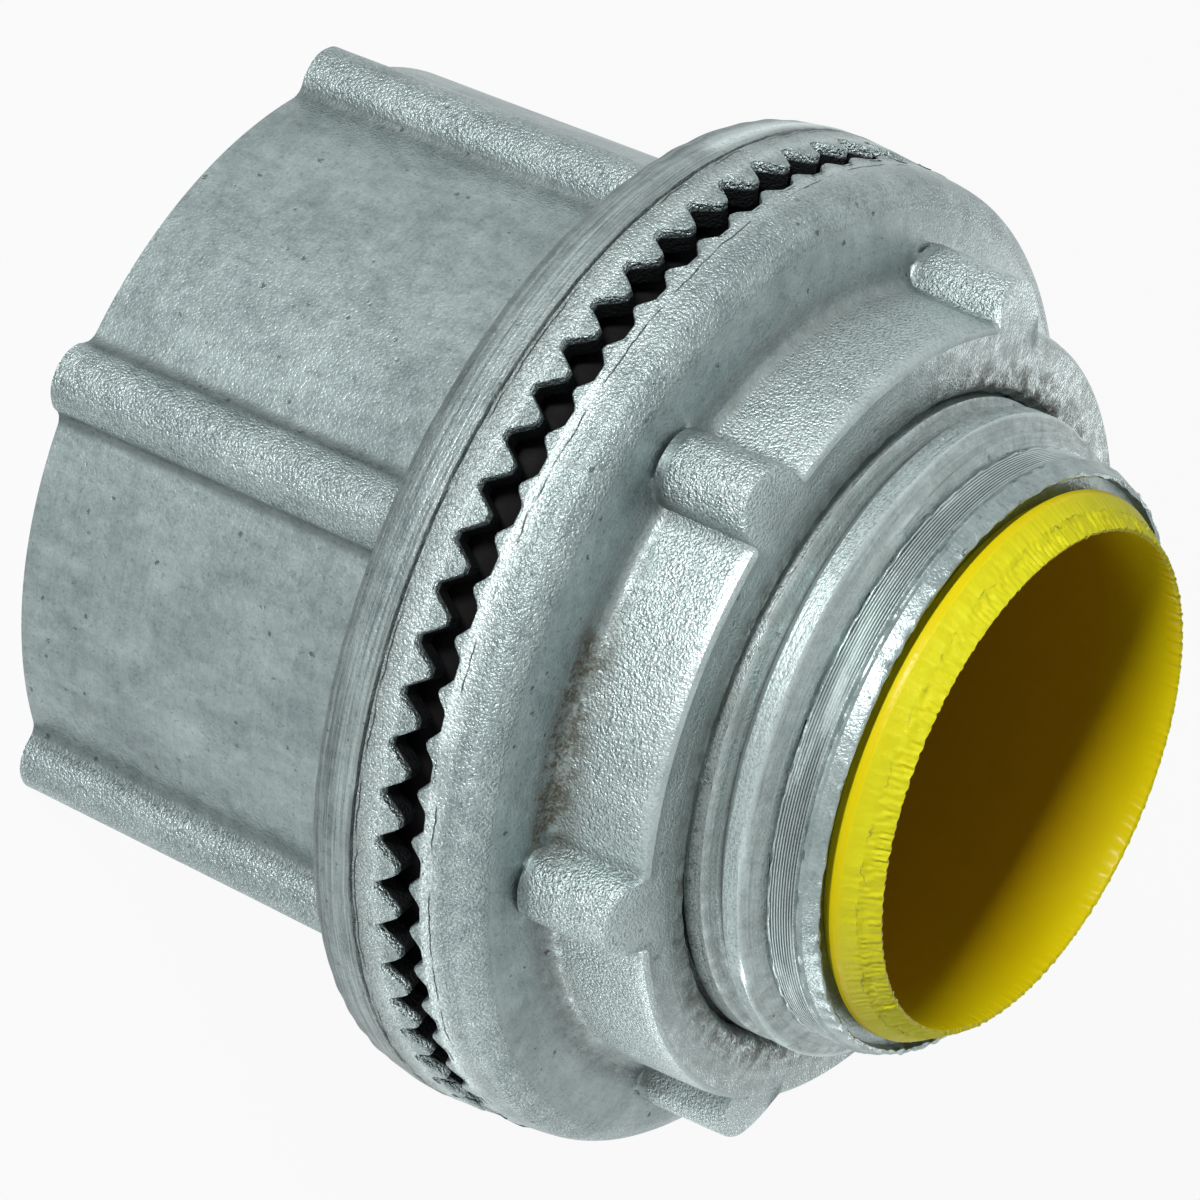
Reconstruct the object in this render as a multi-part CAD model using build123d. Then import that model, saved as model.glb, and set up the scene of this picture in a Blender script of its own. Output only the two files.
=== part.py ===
from build123d import *

import math
import os

# Raintight conduit hub with an insulated throat, trade size 3/4 inch, for threaded rigid conduit.
# Millimetres. The axis is +Z: the conduit enters at z = 0, and the threaded nose points up.
# Radii are built outwards from the two threads, and heights upwards from the conduit's mouth.

# Socket for the conduit
SOCKET_R = 11.85            # crests of the female pipe thread
SOCKET_DEPTH = 15.0
SOCKET_LEAD = 1.4           # chamfer that leads the conduit in

# Ribbed barrel
BARREL_WALL = 4.95          # at the conduit end
BARREL_LENGTH = 17.4        # from the mouth to the back of the flange
DRAFT = 1.0                 # degrees, as the casting leaves its die
RIB_COUNT = 6
RIB_FIRST = 30.0            # degrees round from +X
RIB_HEIGHT = 1.5
RIB_WIDTH = 2.7
RIB_FOOT = 0.4              # fillet from rib to barrel

# Threaded nose
THREAD_R = 26.67 / 2        # crests of the male thread
THREAD_PITCH = 25.4 / 14
NOSE_LENGTH = 13.54         # from the flange's tooth tips to the front end
NOSE_WALL = 2.335           # crest to bore
NOSE_LEAD = 2.09            # turned lead at the front end, chamfer included
LEAD_DROP = 0.985           # the lead below the thread's crests
RUNOUT_DEPTH = 1.15         # groove between the thread and the lead
RUNOUT_FLOOR = 0.1          # width of its floor
NOSE_BEVEL_R = 0.3          # chamfer at the front end, across
NOSE_BEVEL_Z = 0.79         # and along the axis

# Insulating throat
LINER_WALL = 0.7
LINER_LENGTH = 13.8
LIP_HEIGHT = 1.8            # how far it stands out of the nose
LIP_WIDTH = 0.43            # how far its lip reaches over the nose's front end
LIP_SIDE = 0.4              # straight part of the lip's side, below its bevel
THROAT_ROUND = 0.15         # rounded edge of the throat's mouth
STOP_STEP = 0.3             # bore of the conduit's stop beyond the throat's

# Lock nut
HUB_WALL = 2.865            # bore to the foot of the inner hub
HUB_HEIGHT = 7.95           # from the tooth tips to the hub's front face
HUB_FOOT = 0.6              # fillet from hub to face
HUB_EDGE = 0.7              # rounded front edge
HUB_MOUTH = 0.5             # chamfer at the front of the bore
LUG_COUNT = 6
LUG_FIRST = 9.0             # degrees, with the nut as it was left
LUG_HEIGHT = 1.75
LUG_WIDTH = 3.1
LUG_FOOT = 0.3              # fillet from lug to hub
LUG_DROP = 0.1              # lug ends below the hub's front face
LUG_LEAN = 0.45             # and its crest ends lower still
FACE_WIDTH = 3.1            # from the hub to the shoulder
FACE_RISE = 0.5             # the face climbs towards the hub
FACE_THICK = 1.9
SHOULDER_WIDTH = 0.9
SHOULDER_HEIGHT = 0.65
BAND_HEIGHT = 2.2           # outer band, above the tooth tips
BAND_DRAFT = 0.25           # how much narrower the band is at its top

# Flange of the body
FLANGE_PROUD = 0.2          # flange beyond the nut's rim
FLANGE_BACK = 2.2           # from its back edge to the casting's parting line
FLANGE_FRONT = 2.0          # from the parting line to the tooth tips
FLANGE_TAPER = 0.3          # how much narrower it is at its back edge
FLANGE_FOOT = 1.2           # fillet from barrel to flange

# Serrations of both rims
TOOTH_COUNT = 62
TOOTH_FIRST = 1.6           # degrees, first valley of the flange
TOOTH_SHIFT = 1.4           # degrees that the nut's valleys stand ahead
TOOTH_DEPTH = 0.9           # on the flange
TOOTH_VALLEY = 0.17         # share of a tooth's step that the valley's floor takes
TOOTH_CREST = 0.2           # and that its crest takes
NUT_TOOTH_DEPTH = 0.5
NUT_TOOTH_VALLEY = 0.38
NUT_TOOTH_CREST = 0.1
RIM_WIDTH = 1.1             # radial length of a tooth

# Sealing ring
RING_SECTION = 3.2
GROOVE_PLAY = 0.2           # beside the ring, each side
GROOVE_BANK = 0.5           # from the groove to the teeth
GROOVE_DEPTH = 1.2          # below the flange's face

# Clearances
RUNNING_GAP = 0.1           # nut on nose, each side
TIP_GAP = 0.55              # between the two rims, as the nut was left
FACE_GAP = 0.8              # flange's face below its tooth valleys
SEAT_GAP = 0.05             # under the ring and behind the throat

# Radii that follow
BARREL_R = SOCKET_R + BARREL_WALL
LEAD_R = THREAD_R - LEAD_DROP
LINER_R = THREAD_R - NOSE_WALL
THROAT_R = LINER_R - LINER_WALL
STOP_R = THROAT_R + STOP_STEP
NUT_BORE_R = THREAD_R + RUNNING_GAP
HUB_R = NUT_BORE_R + HUB_WALL
SHOULDER_R = HUB_R + FACE_WIDTH
NUT_R = SHOULDER_R + SHOULDER_WIDTH + BAND_DRAFT
FLANGE_R = NUT_R + FLANGE_PROUD
RIM_INNER_R = NUT_R - RIM_WIDTH
RING_R = RIM_INNER_R - GROOVE_BANK - GROOVE_PLAY - RING_SECTION / 2

# Heights that follow
PARTING_Z = BARREL_LENGTH + FLANGE_BACK
TIP_Z = PARTING_Z + FLANGE_FRONT
FLANGE_FACE_Z = TIP_Z - TOOTH_DEPTH - FACE_GAP
GROOVE_Z = FLANGE_FACE_Z - GROOVE_DEPTH
NOSE_Z = TIP_Z + NOSE_LENGTH
LIP_Z = NOSE_Z + LIP_HEIGHT
LINER_END_Z = LIP_Z - LINER_LENGTH
NUT_TIP_Z = TIP_Z + TIP_GAP
SHOULDER_Z = NUT_TIP_Z + BAND_HEIGHT + SHOULDER_HEIGHT
HUB_Z = NUT_TIP_Z + HUB_HEIGHT


def turned(outline):
    """Turn an outline, drawn flat as (radius, height), about the axis."""
    return revolve(Plane.XZ * make_face(outline), Axis.Z)


def bars_round(wall_r, crest_r, width, foot, count, first):
    """Flat sections of the bars on a round wall, each with filleted feet and a round crest."""
    half = width / 2
    centre = Vector(math.sqrt((wall_r + foot) ** 2 - (half + foot) ** 2), -half - foot)
    on_wall = centre * (wall_r / (wall_r + foot))
    on_bar = Vector(centre.X, -half)
    middle = centre + (on_wall + on_bar - centre * 2).normalized() * foot
    shoulder = Vector(crest_r - min(half * 0.7, (crest_r - centre.X) * 0.8), -half)
    foot_line = ThreePointArc(on_wall, middle, on_bar) + Line(on_bar, shoulder)
    root = on_wall - Vector(foot, 0)
    outline = (
        Line(root, on_wall)
        + foot_line
        + ThreePointArc(shoulder, (crest_r, 0), (shoulder.X, half))
        + mirror(foot_line, Plane.XZ)
        + Polyline((on_wall.X, -on_wall.Y), (root.X, -root.Y), root)
    )
    bar = make_face(outline)
    return [Rot(0, 0, first + i * 360 / count) * bar for i in range(count)]


def serrated(rim, outer_r, tip_z, depth, valley, crest, first, side):
    """Cut the valleys of a serrated rim. side is 1 where the teeth point up, and -1 where down."""
    step = 2 * math.pi * outer_r / TOOTH_COUNT
    floor_half = step * valley / 2
    mouth_half = step * (1 - crest) / 2
    over = depth * 0.5
    over_half = mouth_half + (mouth_half - floor_half) * over / depth
    section = Polyline(
        (0, -over_half, side * over),
        (0, -floor_half, -side * depth),
        (0, floor_half, -side * depth),
        (0, over_half, side * over),
        close=True,
    )
    start_r = outer_r - RIM_WIDTH - FLANGE_PROUD - RUNNING_GAP
    length = outer_r + RUNNING_GAP - start_r
    cutter = Pos(start_r, 0, tip_z) * extrude(make_face(section), amount=length, dir=(1, 0, 0))
    turns = [Rot(0, 0, first + i * 360 / TOOTH_COUNT) for i in range(TOOTH_COUNT)]
    return rim - [turn * cutter for turn in turns]


def make_hub_body():
    """The die casting: ribbed barrel, serrated flange and threaded nose round one passage."""
    ribs = bars_round(
        BARREL_R, BARREL_R + RIB_HEIGHT, RIB_WIDTH, RIB_FOOT, RIB_COUNT, RIB_FIRST
    )
    barrel = extrude(Circle(BARREL_R) + ribs, amount=BARREL_LENGTH, taper=-DRAFT)

    foot_r = BARREL_R + BARREL_LENGTH * math.tan(math.radians(DRAFT))
    lead_z = NOSE_Z - NOSE_LEAD
    flank = math.tan(math.radians(30))
    floor_end = lead_z - (RUNOUT_DEPTH - LEAD_DROP) * flank
    floor_start = floor_end - RUNOUT_FLOOR
    flange_outline = (
        Polyline(
            (STOP_R, SOCKET_DEPTH),
            (foot_r, SOCKET_DEPTH),
            (foot_r, BARREL_LENGTH - FLANGE_FOOT),
        )
        + RadiusArc(
            (foot_r, BARREL_LENGTH - FLANGE_FOOT),
            (foot_r + FLANGE_FOOT, BARREL_LENGTH),
            -FLANGE_FOOT,
        )
        + Polyline(
            (foot_r + FLANGE_FOOT, BARREL_LENGTH),
            (FLANGE_R - FLANGE_TAPER, BARREL_LENGTH),
            (FLANGE_R, PARTING_Z),
            (FLANGE_R - FLANGE_TAPER / 2, TIP_Z),
            (RIM_INNER_R, TIP_Z),
            (RIM_INNER_R, FLANGE_FACE_Z),
            (THREAD_R, FLANGE_FACE_Z),
            (THREAD_R, floor_start - RUNOUT_DEPTH * flank),
            (THREAD_R - RUNOUT_DEPTH, floor_start),
            (THREAD_R - RUNOUT_DEPTH, floor_end),
            (LEAD_R, lead_z),
            (LEAD_R, NOSE_Z - NOSE_BEVEL_Z),
            (LEAD_R - NOSE_BEVEL_R, NOSE_Z),
            (STOP_R, NOSE_Z),
            (STOP_R, SOCKET_DEPTH),
        )
    )
    front = turned(flange_outline)
    front = serrated(
        front, FLANGE_R, TIP_Z, TOOTH_DEPTH, TOOTH_VALLEY, TOOTH_CREST, TOOTH_FIRST, 1
    )

    groove_half = RING_SECTION / 2 + GROOVE_PLAY
    groove = Pos(0, 0, GROOVE_Z) * extrude(
        Circle(RING_R + groove_half) - Circle(RING_R - groove_half), amount=RING_SECTION * 2
    )
    passage = turned(
        Polyline(
            (0, -1),
            (SOCKET_R + SOCKET_LEAD + 1, -1),
            (SOCKET_R, SOCKET_LEAD),
            (SOCKET_R, SOCKET_DEPTH),
            (STOP_R, SOCKET_DEPTH),
            (STOP_R, LINER_END_Z - SEAT_GAP),
            (LINER_R, LINER_END_Z - SEAT_GAP),
            (LINER_R, NOSE_Z + 1),
            (0, NOSE_Z + 1),
            close=True,
        )
    )
    return barrel + front - groove - passage


def make_lock_nut():
    """The nut: a serrated rim, a plain face and an inner hub with six half-round lugs."""
    face_z = SHOULDER_Z + FACE_RISE
    under_z = SHOULDER_Z - FACE_THICK
    hub_top_r = HUB_R - (HUB_Z - face_z) * math.tan(math.radians(DRAFT))
    outline = (
        Polyline(
            (RIM_INNER_R, NUT_TIP_Z),
            (NUT_R, NUT_TIP_Z),
            (NUT_R - BAND_DRAFT, NUT_TIP_Z + BAND_HEIGHT),
            (SHOULDER_R, SHOULDER_Z),
            (HUB_R + HUB_FOOT, face_z),
        )
        + RadiusArc((HUB_R + HUB_FOOT, face_z), (HUB_R, face_z + HUB_FOOT), HUB_FOOT)
        + Line((HUB_R, face_z + HUB_FOOT), (hub_top_r, HUB_Z - HUB_EDGE))
        + RadiusArc((hub_top_r, HUB_Z - HUB_EDGE), (hub_top_r - HUB_EDGE, HUB_Z), -HUB_EDGE)
        + Polyline(
            (hub_top_r - HUB_EDGE, HUB_Z),
            (NUT_BORE_R + HUB_MOUTH, HUB_Z),
            (NUT_BORE_R, HUB_Z - HUB_MOUTH),
            (NUT_BORE_R, under_z),
            (RIM_INNER_R, under_z),
            (RIM_INNER_R, NUT_TIP_Z),
        )
    )
    nut = turned(outline)
    nut = serrated(
        nut, NUT_R, NUT_TIP_Z, NUT_TOOTH_DEPTH, NUT_TOOTH_VALLEY, NUT_TOOTH_CREST,
        TOOTH_FIRST + TOOTH_SHIFT, -1
    )

    lug_r = HUB_R + LUG_HEIGHT
    bars = bars_round(hub_top_r, lug_r, LUG_WIDTH, LUG_FOOT, LUG_COUNT, LUG_FIRST)
    lug_base_z = SHOULDER_Z - FACE_THICK / 2
    lugs = [Pos(0, 0, lug_base_z) * extrude(bar, amount=HUB_HEIGHT, taper=DRAFT / 2) for bar in bars]
    fall = LUG_LEAN * (lug_r + 1 - HUB_R) / LUG_HEIGHT
    above = turned(
        Polyline(
            (0, HUB_Z - LUG_DROP),
            (HUB_R, HUB_Z - LUG_DROP),
            (lug_r + 1, HUB_Z - LUG_DROP - fall),
            (lug_r + 1, HUB_Z + HUB_HEIGHT),
            (0, HUB_Z + HUB_HEIGHT),
            close=True,
        )
    )
    return nut + [lug - above for lug in lugs]


def make_sealing_ring():
    """The rubber ring in the groove of the flange's face."""
    return Pos(0, 0, GROOVE_Z + SEAT_GAP + RING_SECTION / 2) * Torus(RING_R, RING_SECTION / 2)


def make_throat_liner():
    """The moulded throat: a sleeve in the nose, with a bevelled lip over its front end."""
    lip_r = LINER_R + LIP_WIDTH
    outline = (
        Polyline(
            (THROAT_R, LINER_END_Z),
            (LINER_R, LINER_END_Z),
            (LINER_R, NOSE_Z),
            (lip_r, NOSE_Z),
            (lip_r, NOSE_Z + LIP_SIDE),
            (THROAT_R + THROAT_ROUND, LIP_Z),
        )
        + RadiusArc(
            (THROAT_R + THROAT_ROUND, LIP_Z), (THROAT_R, LIP_Z - THROAT_ROUND), -THROAT_ROUND
        )
        + Line((THROAT_R, LIP_Z - THROAT_ROUND), (THROAT_R, LINER_END_Z))
    )
    return turned(outline)


pieces = {
    "hub_body": make_hub_body(),
    "lock_nut": make_lock_nut(),
    "sealing_ring": make_sealing_ring(),
    "throat_liner": make_throat_liner(),
}

os.makedirs("parts", exist_ok=True)
for name, piece in pieces.items():
    piece.label = name
    export_step(piece, f"parts/{name}.step")
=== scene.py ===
import math

import bpy
import numpy as np
from mathutils import Matrix, Vector


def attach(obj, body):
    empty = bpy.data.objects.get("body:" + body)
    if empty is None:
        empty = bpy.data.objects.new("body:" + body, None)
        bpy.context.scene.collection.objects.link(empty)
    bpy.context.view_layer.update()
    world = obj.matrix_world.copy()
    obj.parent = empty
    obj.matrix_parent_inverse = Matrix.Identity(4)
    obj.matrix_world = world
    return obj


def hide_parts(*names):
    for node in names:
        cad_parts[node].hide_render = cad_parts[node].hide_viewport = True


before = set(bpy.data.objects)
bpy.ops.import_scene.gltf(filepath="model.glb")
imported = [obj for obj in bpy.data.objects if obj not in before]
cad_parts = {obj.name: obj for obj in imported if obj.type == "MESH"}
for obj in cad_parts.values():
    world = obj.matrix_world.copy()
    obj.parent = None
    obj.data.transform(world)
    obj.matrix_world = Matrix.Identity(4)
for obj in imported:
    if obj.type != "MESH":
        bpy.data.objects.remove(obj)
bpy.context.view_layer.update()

# The body: one zinc die casting. A ribbed barrel takes the threaded conduit, a serrated flange
# bites the outside of the enclosure, and a nose with a pipe thread passes through its wall.
# Shapes are worked out in millimetres about the part's axis and scaled to metres when settled.

MM = 0.001
RIM_COLUMNS = 744               # twelve to a tooth
TOOTH_COUNT = 62
TOOTH_FIRST = math.radians(1.6)
TOOTH_DEPTH = 0.9
RIB_COUNT = 6
RIB_FIRST = 30                  # degrees
RIB_WIDTH = 2.7
RIB_HEIGHT = 1.5
PITCH = 25.4 / 14
NOSE_R = 13.335
NOSE_LEAD_R = 12.35
NOSE_ROOT_R = 12.7
NOSE_END_R = 12.1               # root of the thread's last turn, behind the lead
SOCKET_R = 11.85
SOCKET_ROOT_R = 13.0
SOCKET_DEPTH = 15.0
BARREL_R = 16.8
BARREL_TOP_R = 17.104
BARREL_DRAFT = math.radians(1)
FLANGE_R = 20.75
FLANGE_Z = 17.4
PARTING_Z = 19.6
TIP_Z = 21.6
RIM_INNER_R = 19.45
FACE_Z = 19.9
GROOVE_Z = 18.7
GROOVE_IN_R = 15.35
GROOVE_OUT_R = 18.95
THREAD_END_Z = 32.95
LINES_Z = (33.0, 34.1)          # fine turned lines on the lead
LINE_STEP = 0.12
NOSE_Z = 35.14
LINER_SEAT_R = 11.0
STOP_R = 10.6
STOP_Z = 23.09
MARKS = ("tooth", "wall", "cap", "ragged")
EASE_STEPS = 4
RIPPLE_WAVES = 28
BAR_FALL = 0.62                 # how far a bar's side falls, in half widths
BAR_CURVE = 2.4
THREAD_ROWS = 15
THREAD_WELD = 0.002


def row(r, z, soft=0.0, **marks):
    """One point of a turned outline, with the radius that its corner is eased by."""
    return [r, z, soft] + [marks.get(name, 0.0) for name in MARKS]


def eased(points):
    """Rows of an outline whose corners are rounded off."""
    points = np.array(points, dtype=float)
    rows = []
    for i, point in enumerate(points):
        if point[2] == 0 or i in (0, len(points) - 1):
            rows.append(point)
            continue
        back, on = points[i - 1][:2] - point[:2], points[i + 1][:2] - point[:2]
        reach = min(point[2], 0.49 * np.linalg.norm(back), 0.49 * np.linalg.norm(on))
        start = point[:2] + back / np.linalg.norm(back) * reach
        end = point[:2] + on / np.linalg.norm(on) * reach
        for t in np.linspace(0, 1, EASE_STEPS + 1):
            curve = start * (1 - t) ** 2 + point[:2] * 2 * t * (1 - t) + end * t * t
            rows.append(np.concatenate([curve, point[2:]]))
    return np.array(rows)


def ripple(angles, seed, finest):
    """Smooth seeded wobble round the axis, about -1 to 1, of up to finest waves a turn."""
    rng = np.random.default_rng(seed)
    waves = rng.integers(3, finest, RIPPLE_WAVES)
    phases = rng.uniform(0, math.tau, RIPPLE_WAVES)
    heights = rng.uniform(0.3, 1.0, RIPPLE_WAVES)
    total = sum(h * np.sin(w * angles + p) for w, p, h in zip(waves, phases, heights))
    return total / 3.6


def skin(name, outlines, columns, seed, finest=90):
    """Mesh of outlines turned about the axis. Each walks up outside, inwards, and down inside."""
    angles = TOOTH_FIRST + np.arange(columns) / columns * math.tau
    here = np.arange(columns)
    after = (here + 1) % columns
    points, faces, marks = [], [], []
    base = 0
    for outline in outlines:
        rows = eased(outline)
        for j, (r, z, _, *weights) in enumerate(rows):
            shaken = r + weights[MARKS.index("ragged")] * ripple(angles, seed + j // 3, finest)
            points.append(np.stack(
                [shaken * np.cos(angles), shaken * np.sin(angles), np.full(columns, z)], axis=1))
            marks.append(np.tile(weights, (columns, 1)))
        for j in range(len(rows) - 1):
            low, high = base + j * columns, base + (j + 1) * columns
            faces.append(np.stack([low + here, low + after, high + after, high + here], axis=1))
        base += len(rows) * columns
    points, faces, marks = np.concatenate(points), np.concatenate(faces), np.concatenate(marks)
    mesh = bpy.data.meshes.new(name)
    mesh.from_pydata(points.tolist(), [], faces.tolist())
    for i, mark in enumerate(MARKS):
        mesh.attributes.new(mark, "FLOAT", "POINT").data.foreach_set("value", marks[:, i].copy())
    obj = bpy.data.objects.new(name, mesh)
    bpy.context.collection.objects.link(obj)
    return obj


def plug(tree, socket, value):
    """Give a socket a plain number, or link it to another socket."""
    if isinstance(value, (int, float)):
        socket.default_value = value
    else:
        tree.links.new(value, socket)


def calc(tree, operation, *values):
    """One Math node, from numbers or sockets."""
    node = tree.nodes.new("ShaderNodeMath")
    node.operation = operation
    for socket, value in zip(node.inputs, values):
        plug(tree, socket, value)
    return node.outputs[0]


def clamped(tree, value):
    """A value held between 0 and 1."""
    return calc(tree, "MINIMUM", calc(tree, "MAXIMUM", value, 0.0), 1.0)


def parted(tree, vector):
    """The x, y and z of a vector."""
    node = tree.nodes.new("ShaderNodeSeparateXYZ")
    tree.links.new(vector, node.inputs[0])
    return node.outputs


def joined(tree, x, y, z):
    """A vector from its x, y and z."""
    node = tree.nodes.new("ShaderNodeCombineXYZ")
    for socket, value in zip(node.inputs, (x, y, z)):
        plug(tree, socket, value)
    return node.outputs[0]


def off_axis(tree, x, y):
    """The radius at which a place stands from the axis."""
    return calc(tree, "SQRT", calc(
        tree, "ADD", calc(tree, "MULTIPLY", x, x), calc(tree, "MULTIPLY", y, y)))


def geometry_tree(name, sizes):
    """An empty geometry tree with named number inputs. Returns it, its inputs and its output."""
    tree = bpy.data.node_groups.new(name, "GeometryNodeTree")
    tree.interface.new_socket("Geometry", in_out="INPUT", socket_type="NodeSocketGeometry")
    for size in sizes:
        kind = "NodeSocketInt" if size in ("Count", "Columns") else "NodeSocketFloat"
        tree.interface.new_socket(size, in_out="INPUT", socket_type=kind)
    tree.interface.new_socket("Material", in_out="INPUT", socket_type="NodeSocketMaterial")
    tree.interface.new_socket("Geometry", in_out="OUTPUT", socket_type="NodeSocketGeometry")
    start = tree.nodes.new("NodeGroupInput")
    end = tree.nodes.new("NodeGroupOutput")
    realize = tree.nodes.new("GeometryNodeRealizeInstances")
    dress = tree.nodes.new("GeometryNodeSetMaterial")
    tree.links.new(realize.outputs[0], dress.inputs["Geometry"])
    tree.links.new(start.outputs["Material"], dress.inputs["Material"])
    tree.links.new(dress.outputs[0], end.inputs[0])
    return tree, start.outputs, realize.inputs[0]


def named(tree, name):
    """A number stored on the points under a name."""
    node = tree.nodes.new("GeometryNodeInputNamedAttribute")
    node.data_type = "FLOAT"
    node.inputs["Name"].default_value = name
    return node.outputs["Attribute"]


def place(tree):
    """The point's height, its radius and its angle about the axis."""
    x, y, z = parted(tree, tree.nodes.new("GeometryNodeInputPosition").outputs[0])
    return z, off_axis(tree, x, y), calc(tree, "ARCTAN2", y, x)


def moved_to(tree, geometry, r, angle, z):
    """Set each point's place from its radius, angle and height."""
    spot = joined(tree, calc(tree, "MULTIPLY", r, calc(tree, "COSINE", angle)),
                  calc(tree, "MULTIPLY", r, calc(tree, "SINE", angle)), z)
    setter = tree.nodes.new("GeometryNodeSetPosition")
    tree.links.new(geometry, setter.inputs["Geometry"])
    tree.links.new(spot, setter.inputs["Position"])
    return setter.outputs[0]


def from_nearest(tree, angle, first, count):
    """Share of a step, 0 to 0.5, between the point and the nearest of count equal steps."""
    step = calc(tree, "DIVIDE", math.tau, count)
    turns = calc(tree, "DIVIDE", calc(tree, "SUBTRACT", angle, first), step)
    return calc(tree, "ABSOLUTE", calc(tree, "SUBTRACT", calc(
        tree, "FRACT", calc(tree, "ADD", turns, 0.5)), 0.5))


# Presses the valleys of a serrated rim into the points that carry the "tooth" mark
serration_tree, sizes, into = geometry_tree(
    "serrated_rim", ("Count", "First", "Depth", "Floor", "Crest", "Side"))
g = serration_tree
z, reach, angle = place(g)
away = from_nearest(g, angle, sizes["First"], sizes["Count"])
flank = calc(g, "SUBTRACT", calc(g, "SUBTRACT", 0.5, sizes["Crest"]), sizes["Floor"])
climb = clamped(g, calc(g, "DIVIDE", calc(g, "SUBTRACT", away, sizes["Floor"]), flank))
press = calc(g, "MULTIPLY", calc(g, "SUBTRACT", 1.0, climb), sizes["Depth"])
press = calc(g, "MULTIPLY", press, named(g, "tooth"))
level = calc(g, "SUBTRACT", z, calc(g, "MULTIPLY", press, sizes["Side"]))
g.links.new(moved_to(g, sizes["Geometry"], reach, angle, level), into)

# Raises bars from the points whose "wall" mark gives the wall that they stand on. Their crest is
# a little flatter than half-round, a foot eases them into the wall, and their ends fall away.
bars_tree, sizes, into = geometry_tree(
    "bars_round_a_wall", ("Count", "First", "Width", "Height", "Foot", "Drop", "Lean"))
g = bars_tree
z, reach, angle = place(g)
wall = named(g, "wall")
half = calc(g, "MULTIPLY", sizes["Width"], 0.5)
step = calc(g, "DIVIDE", math.tau, sizes["Count"])
away = calc(g, "MULTIPLY", calc(
    g, "MULTIPLY", from_nearest(g, angle, sizes["First"], sizes["Count"]), step), wall)
share = calc(g, "DIVIDE", away, half)
crest = calc(g, "SUBTRACT", sizes["Height"], calc(
    g, "MULTIPLY", calc(g, "MULTIPLY", half, BAR_FALL), calc(g, "POWER", share, BAR_CURVE)))
gap = clamped(g, calc(g, "DIVIDE", calc(g, "SUBTRACT", away, half), sizes["Foot"]))
gap = calc(g, "SUBTRACT", 1.0, gap)
foot = calc(g, "MULTIPLY", sizes["Foot"], calc(g, "SUBTRACT", 1.0, calc(
    g, "SQRT", calc(g, "SUBTRACT", 1.0, calc(g, "MULTIPLY", gap, gap)))))
on_bar = calc(g, "LESS_THAN", away, half)
raised = calc(g, "ADD", calc(g, "MULTIPLY", crest, on_bar), calc(
    g, "MULTIPLY", foot, calc(g, "SUBTRACT", 1.0, on_bar)))
grown = calc(g, "MAXIMUM", reach, calc(
    g, "MULTIPLY", calc(g, "ADD", wall, raised), calc(g, "GREATER_THAN", wall, 1.0)))
fall = calc(g, "DIVIDE", calc(g, "SUBTRACT", grown, reach), sizes["Height"])
fall = calc(g, "ADD", calc(g, "MULTIPLY", fall, sizes["Lean"]), calc(
    g, "MULTIPLY", sizes["Drop"], on_bar))
level = calc(g, "SUBTRACT", z, calc(g, "MULTIPLY", fall, named(g, "cap")))
g.links.new(moved_to(g, sizes["Geometry"], grown, angle, level), into)

# Winds a thread: a strip one pitch wide that follows the helix, its turns welded together. What
# would stand past either end is flattened on to it, and the flat faces are dropped.
thread_tree, sizes, into = geometry_tree(
    "wound_thread",
    ("Columns", "Turns", "Pitch", "Crest", "Root", "Crest Flat", "Root Flat", "Start", "End",
     "Fade In", "Fade Out", "Phase"))
g = thread_tree
strip = g.nodes.new("GeometryNodeMeshGrid")
strip.inputs["Size X"].default_value = 1.0
strip.inputs["Size Y"].default_value = 1.0
strip.inputs["Vertices Y"].default_value = THREAD_ROWS
g.links.new(calc(g, "ADD", calc(g, "MULTIPLY", sizes["Columns"], sizes["Turns"]), 1.0),
            strip.inputs["Vertices X"])
long_way, cross_way, _ = parted(g, g.nodes.new("GeometryNodeInputPosition").outputs[0])
along = calc(g, "MULTIPLY", calc(g, "ADD", long_way, 0.5), sizes["Turns"])
across = calc(g, "ADD", cross_way, 0.5)
climb = calc(g, "MULTIPLY", calc(g, "ADD", along, across), sizes["Pitch"])
level = calc(g, "ADD", climb, calc(g, "SUBTRACT", sizes["Start"], sizes["Pitch"]))
off_crest = calc(g, "MULTIPLY", calc(g, "ABSOLUTE", cross_way), sizes["Pitch"])
top = calc(g, "MULTIPLY", sizes["Crest Flat"], 0.5)
bottom = calc(g, "MULTIPLY", calc(g, "SUBTRACT", sizes["Pitch"], sizes["Root Flat"]), 0.5)
depth = clamped(g, calc(
    g, "DIVIDE", calc(g, "SUBTRACT", off_crest, top), calc(g, "SUBTRACT", bottom, top)))
begun = clamped(g, calc(
    g, "DIVIDE", calc(g, "SUBTRACT", level, sizes["Start"]), sizes["Fade In"]))
left = clamped(g, calc(
    g, "DIVIDE", calc(g, "SUBTRACT", sizes["End"], level), sizes["Fade Out"]))
depth = calc(g, "MULTIPLY", depth, calc(g, "MULTIPLY", begun, left))
reach = calc(g, "ADD", sizes["Crest"], calc(
    g, "MULTIPLY", depth, calc(g, "SUBTRACT", sizes["Root"], sizes["Crest"])))
held = calc(g, "MINIMUM", calc(g, "MAXIMUM", level, sizes["Start"]), sizes["End"])
store = g.nodes.new("GeometryNodeStoreNamedAttribute")
store.inputs["Name"].default_value = "outside"
g.links.new(calc(g, "ABSOLUTE", calc(g, "SUBTRACT", level, held)), store.inputs["Value"])
g.links.new(strip.outputs["Mesh"], store.inputs["Geometry"])
helix = calc(g, "ADD", calc(g, "MULTIPLY", along, math.tau), sizes["Phase"])
clear = g.nodes.new("GeometryNodeDeleteGeometry")
clear.domain = "FACE"
g.links.new(moved_to(g, store.outputs[0], reach, helix, held), clear.inputs["Geometry"])
g.links.new(calc(g, "GREATER_THAN", named(g, "outside"), 0.02), clear.inputs["Selection"])
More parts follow.
